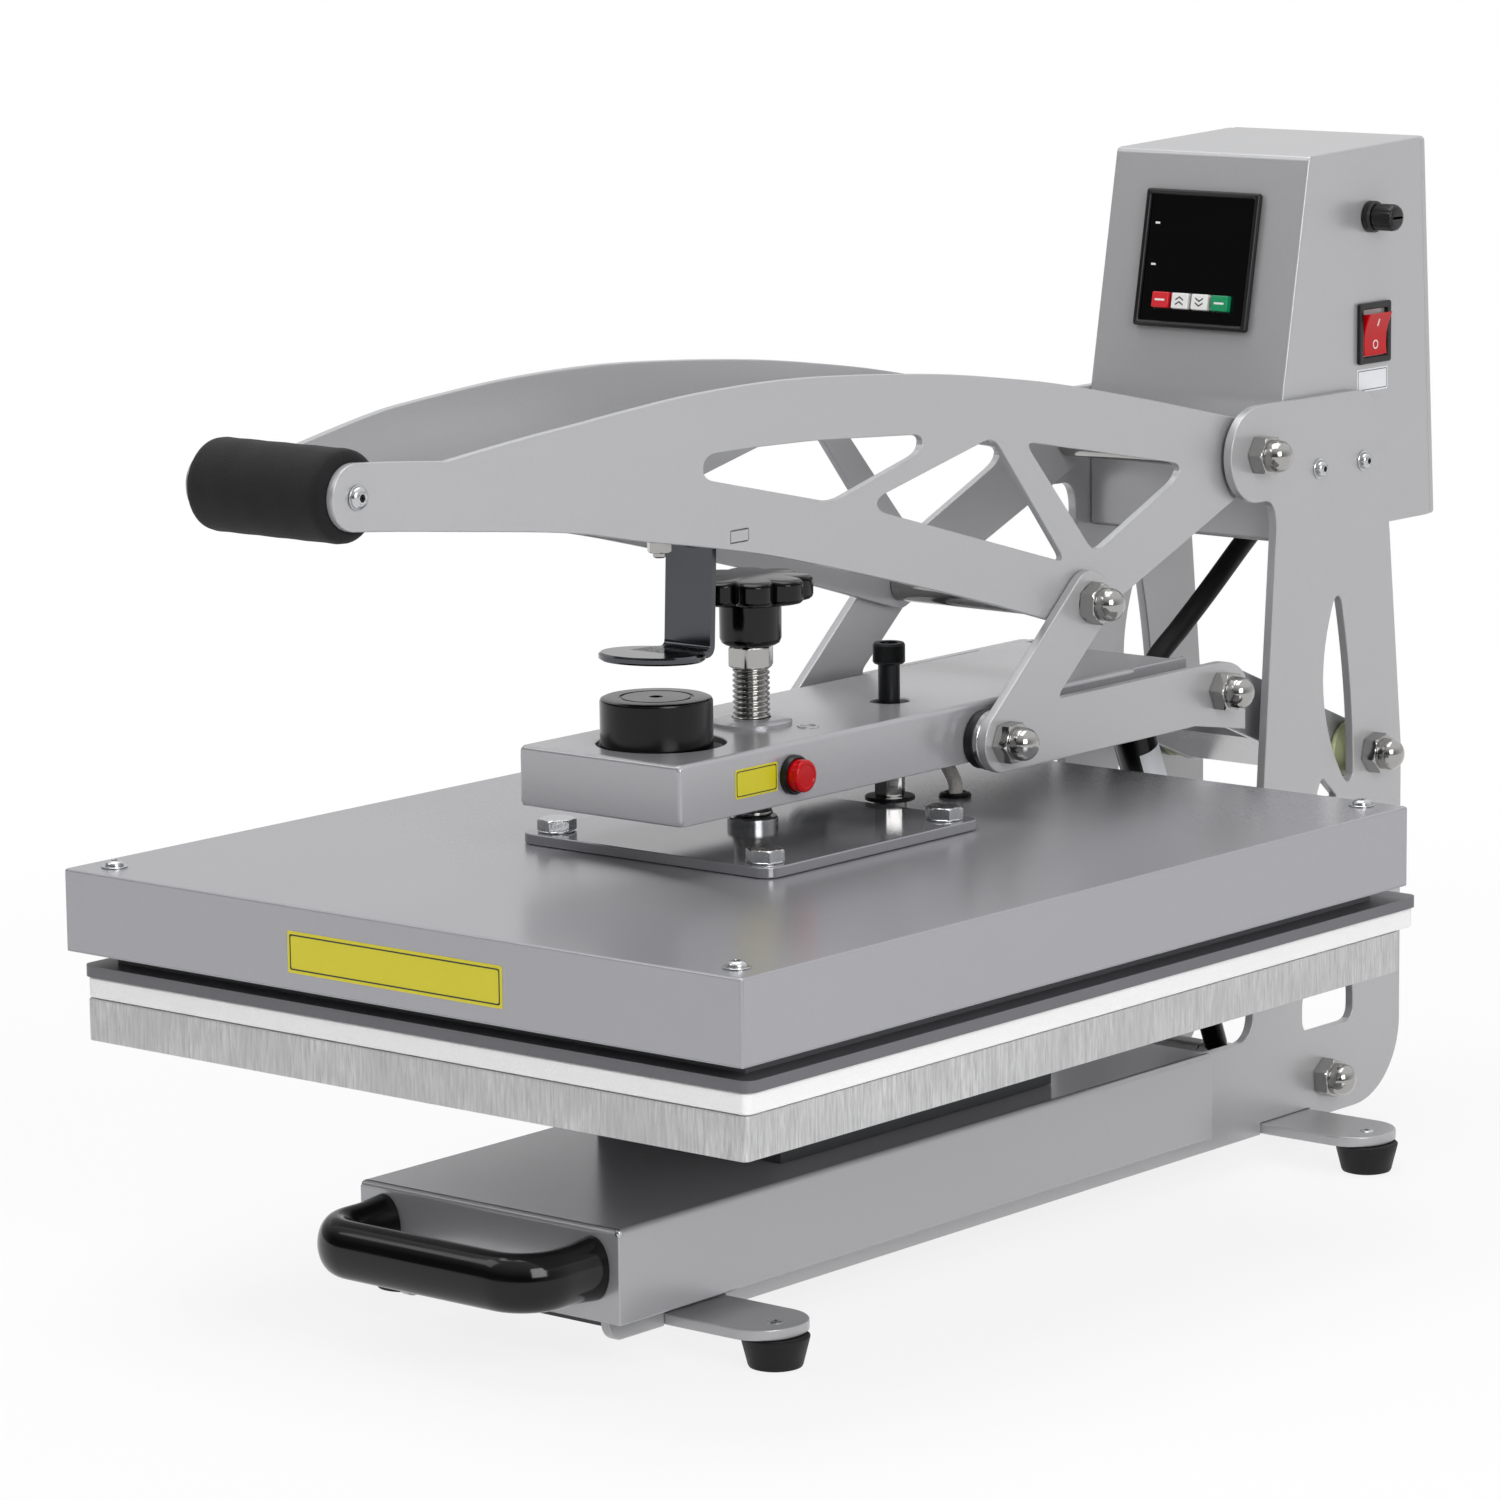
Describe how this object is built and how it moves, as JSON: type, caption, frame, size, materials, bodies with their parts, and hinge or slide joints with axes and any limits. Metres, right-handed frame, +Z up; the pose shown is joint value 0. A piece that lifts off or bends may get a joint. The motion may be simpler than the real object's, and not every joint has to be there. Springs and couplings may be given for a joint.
{
  "type": "auto-open clam heat press",
  "caption": "Clam heat press with a slide-out lower platen, a lattice lever with a foam grip, a gas spring, a magnet catch and a rear control box.",
  "frame": {"origin": "on the table, under the middle of the press between the grip's front and the control box's back", "axes": "+Z up, -Y towards the grip and the user, +X to the user's right"},
  "size_m": [0.4048, 0.8064, 0.5079],
  "materials": {
    "grey_powder_coat": "textured silver-grey powder coat",
    "dark_powder_coat": "dark grey powder coat",
    "plated_steel": "bright zinc and nickel plate",
    "machined_steel": "turned and ground steel",
    "brushed_aluminium": "brushed aluminium plate",
    "coated_aluminium": "dark non-stick coating on aluminium",
    "white_silicone": "soft white silicone sheet",
    "black_foam": "fine-celled black foam",
    "gloss_black": "gloss black enamel",
    "black_plastic": "satin black plastic",
    "gloss_black_plastic": "gloss black plastic",
    "black_rubber": "matt black rubber",
    "red_plastic": "gloss red plastic",
    "green_plastic": "gloss green plastic",
    "white_plastic": "white plastic",
    "nylon": "translucent yellow-green nylon"
  },
  "bodies": {
    "base": {"side_plate_right": "grey_powder_coat", "side_plate_left": "grey_powder_coat", "base_floor_plate": "dark_powder_coat", "foot_bar_front": "grey_powder_coat", "foot_bar_rear": "grey_powder_coat", "foot_front_right": "black_rubber", "foot_front_left": "black_rubber", "foot_rear_right": "black_rubber", "foot_rear_left": "black_rubber", "fixed_rail_right": "plated_steel", "fixed_rail_left": "plated_steel", "arm_shaft": "plated_steel", "hinge_shaft": "plated_steel", "anchor_shaft": "plated_steel", "hinge_roller_right": "nylon", "hinge_roller_left": "nylon", "control_box": "grey_powder_coat", "control_box_rear_cover": "dark_powder_coat", "power_inlet": "black_plastic", "controller": "black_plastic", "switch_frame": "black_plastic", "fuse_holder": "black_plastic", "wiring_hose": "black_rubber"},
    "drawer": {"sliding_rail_right": "plated_steel", "sliding_rail_left": "plated_steel", "drawer_cover": "grey_powder_coat", "pull_handle": "gloss_black_plastic", "platen_riser": "dark_powder_coat", "lower_platen": "brushed_aluminium", "press_pad": "white_silicone"},
    "beam": {"beam": "grey_powder_coat", "electromagnet": "gloss_black", "stop_button_ring": "black_plastic", "hose_gland": "black_plastic", "beam_shaft": "plated_steel"},
    "upper_platen": {"heating_plate": "coated_aluminium", "platen_cover": "grey_powder_coat", "pressure_plate": "machined_steel", "guide_screw": "gloss_black", "platen_cable": "white_plastic"},
    "pressure_screw": {"pressure_spindle": "machined_steel", "star_knob": "gloss_black_plastic"},
    "toggle": {"toggle_plate_right": "grey_powder_coat", "toggle_plate_left": "grey_powder_coat", "spring_shaft": "plated_steel"},
    "arms": {"arm_right": "grey_powder_coat", "arm_left": "grey_powder_coat", "link_shaft": "plated_steel", "grip_sleeve": "black_foam", "grip_bar": "machined_steel", "catch_bracket": "plated_steel"},
    "gas_spring_rod": {"spring_rod": "plated_steel"},
    "gas_spring_tube": {"spring_tube": "gloss_black"},
    "stop_button": {"stop_button": "red_plastic"},
    "rocker": {"rocker": "red_plastic"},
    "fuse_cap": {"fuse_cap": "black_plastic"},
    "key_power": {"key_power": "red_plastic"},
    "key_down": {"key_down": "white_plastic"},
    "key_up": {"key_up": "white_plastic"},
    "key_set": {"key_set": "green_plastic"}
  },
  "joints": [
    {"name": "beam_hinge", "type": "hinge", "parent": "base", "child": "beam", "pos_m": [0, 0.33985, 0.197], "axis": [-1, 0, 0], "range_deg": [0, 5.8], "deforming": ["wiring_hose"]},
    {"name": "arm_hinge", "type": "hinge", "parent": "base", "child": "arms", "pos_m": [0, 0.24025, 0.3602], "axis": [-1, 0, 0], "range_deg": [0, 19.27]},
    {"name": "toggle_hinge", "type": "hinge", "parent": "beam", "child": "toggle", "pos_m": [0, 0.03585, 0.2446], "axis": [-1, 0, 0], "range_deg": [-22.28, 0]},
    {"name": "gas_spring_hinge", "type": "hinge", "parent": "base", "child": "gas_spring_rod", "pos_m": [0, 0.29825, 0.0346], "axis": [-1, 0, 0], "range_deg": [0, 6.03]},
    {"name": "gas_spring_slide", "type": "slide", "parent": "gas_spring_rod", "child": "gas_spring_tube", "axis": [0, -0.3829, 0.9238], "range_m": [0, 0.07553]},
    {"name": "pressure_knob_turn", "type": "hinge", "parent": "upper_platen", "child": "pressure_screw", "pos_m": [0, -0.07525, 0.3], "axis": [0, 0, 1], "range_deg": [0, 721]},
    {"name": "platen_height_slide", "type": "slide", "parent": "beam", "child": "upper_platen", "axis": [0, 0, 1], "range_m": [0, 0.004]},
    {"name": "drawer_slide", "type": "slide", "parent": "base", "child": "drawer", "axis": [0, -1, 0], "range_m": [0, 0.25]},
    {"name": "stop_button_press", "type": "slide", "parent": "beam", "child": "stop_button", "axis": [-1, 0, 0], "range_m": [0, 0.003], "stiffness_N_per_m": 1500},
    {"name": "power_rocker_tilt", "type": "hinge", "parent": "base", "child": "rocker", "pos_m": [0.06, 0.34595, 0.4113], "axis": [0, -1, 0], "range_deg": [0, 18]},
    {"name": "fuse_cap_turn", "type": "hinge", "parent": "base", "child": "fuse_cap", "pos_m": [0.0708, 0.34295, 0.4702], "axis": [1, 0, 0], "range_deg": [0, 90]},
    {"name": "key_power_press", "type": "slide", "parent": "base", "child": "key_power", "axis": [0, 0.9823, -0.1875], "range_m": [0, 0.0005], "stiffness_N_per_m": 3000},
    {"name": "key_down_press", "type": "slide", "parent": "base", "child": "key_down", "axis": [0, 0.9823, -0.1875], "range_m": [0, 0.0005], "stiffness_N_per_m": 3000},
    {"name": "key_up_press", "type": "slide", "parent": "base", "child": "key_up", "axis": [0, 0.9823, -0.1875], "range_m": [0, 0.0005], "stiffness_N_per_m": 3000},
    {"name": "key_set_press", "type": "slide", "parent": "base", "child": "key_set", "axis": [0, 0.9823, -0.1875], "range_m": [0, 0.0005], "stiffness_N_per_m": 3000}
  ],
  "couplings": [
    {"joint": "arm_hinge", "follows": "beam_hinge", "ratio": 3.3205},
    {"joint": "toggle_hinge", "follows": "beam_hinge", "ratio": -3.8399},
    {"joint": "gas_spring_hinge", "follows": "beam_hinge", "ratio": 1.0385},
    {"joint": "gas_spring_slide", "follows": "beam_hinge", "m_per_rad": 0.7451},
    {"joint": "pressure_knob_turn", "follows": "platen_height_slide", "rad_per_m": 3141.6}
  ]
}
